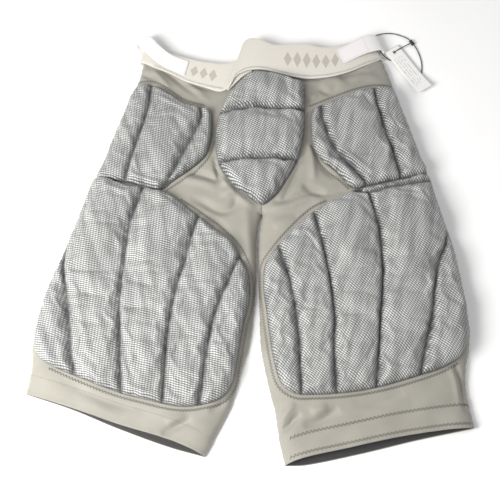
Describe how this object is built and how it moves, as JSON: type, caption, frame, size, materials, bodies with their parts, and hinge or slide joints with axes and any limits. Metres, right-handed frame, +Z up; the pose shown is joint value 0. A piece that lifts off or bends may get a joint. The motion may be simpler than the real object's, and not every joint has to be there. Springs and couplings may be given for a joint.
{
  "type": "padded impact shorts",
  "caption": "Compression shorts lying flat, with channelled foam pads over the thighs, hips and front, an elastic waistband, side loops and a hang tag on a cord.",
  "frame": {"origin": "centre of the flat garment's outline, on the surface it lies on", "axes": "+Z up from the surface, +Y towards the waist, +X towards the wearer's left side, which is the right of the picture"},
  "size_m": [0.492, 0.5457, 0.03],
  "materials": {
    "stretch_fabric": "smooth matt knit",
    "mesh_fabric": "open slanted mesh knit, slight sheen",
    "pad_foam": "closed-cell foam, matt",
    "elastic_waistband": "brushed woven elastic",
    "satin_tape": "satin",
    "seam_thread": "flat stitched thread",
    "black_gripper_knit": "knitted elastic with fine light stripes",
    "tag_card": "coated card",
    "black_plastic": "satin"
  },
  "bodies": {
    "hips": {"waistband": "elastic_waistband", "side_loop_left": "satin_tape", "side_loop_right": "satin_tape", "hip_front_fabric": "stretch_fabric", "hip_back_fabric": "stretch_fabric", "hip_pad_cover_left": "mesh_fabric", "hip_pad_cover_right": "mesh_fabric", "centre_pad_cover": "mesh_fabric", "hip_foam_left_1": "pad_foam", "hip_foam_left_2": "pad_foam", "hip_foam_left_3": "pad_foam", "hip_foam_right_1": "pad_foam", "hip_foam_right_2": "pad_foam", "hip_foam_right_3": "pad_foam", "centre_foam_1": "pad_foam", "centre_foam_2": "pad_foam", "centre_foam_3": "pad_foam", "yoke_seam_left": "seam_thread", "yoke_seam_right": "seam_thread", "tag_cord": "black_plastic", "tag_lock": "black_plastic", "tag_pin": "black_plastic"},
    "left_leg": {"leg_front_fabric_left": "stretch_fabric", "leg_back_fabric_left": "stretch_fabric", "thigh_pad_cover_left": "mesh_fabric", "thigh_foam_left_1": "pad_foam", "thigh_foam_left_2": "pad_foam", "thigh_foam_left_3": "pad_foam", "thigh_foam_left_4": "pad_foam", "thigh_foam_left_5": "pad_foam", "hem_gripper_left": "black_gripper_knit", "thigh_seam_left": "seam_thread", "hem_seam_left": "seam_thread"},
    "right_leg": {"leg_front_fabric_right": "stretch_fabric", "leg_back_fabric_right": "stretch_fabric", "thigh_pad_cover_right": "mesh_fabric", "thigh_foam_right_1": "pad_foam", "thigh_foam_right_2": "pad_foam", "thigh_foam_right_3": "pad_foam", "thigh_foam_right_4": "pad_foam", "thigh_foam_right_5": "pad_foam", "hem_gripper_right": "black_gripper_knit", "thigh_seam_right": "seam_thread", "hem_seam_right": "seam_thread"},
    "tag": {"hang_tag": "tag_card"}
  },
  "joints": [
    {"name": "left_leg_flex", "type": "hinge", "parent": "hips", "child": "left_leg", "pos_m": [-0.098, 0.05306, 0.028], "axis": [-1, 0, 0], "range_deg": [0, 100]},
    {"name": "right_leg_flex", "type": "hinge", "parent": "hips", "child": "right_leg", "pos_m": [0.122, 0.05306, 0.028], "axis": [-1, 0, 0], "range_deg": [0, 100]},
    {"name": "tag_swivel", "type": "hinge", "parent": "hips", "child": "tag", "pos_m": [0.1819, 0.25086, 0.0025], "axis": [0, 0, 1], "range_deg": [-15, 40]}
  ]
}
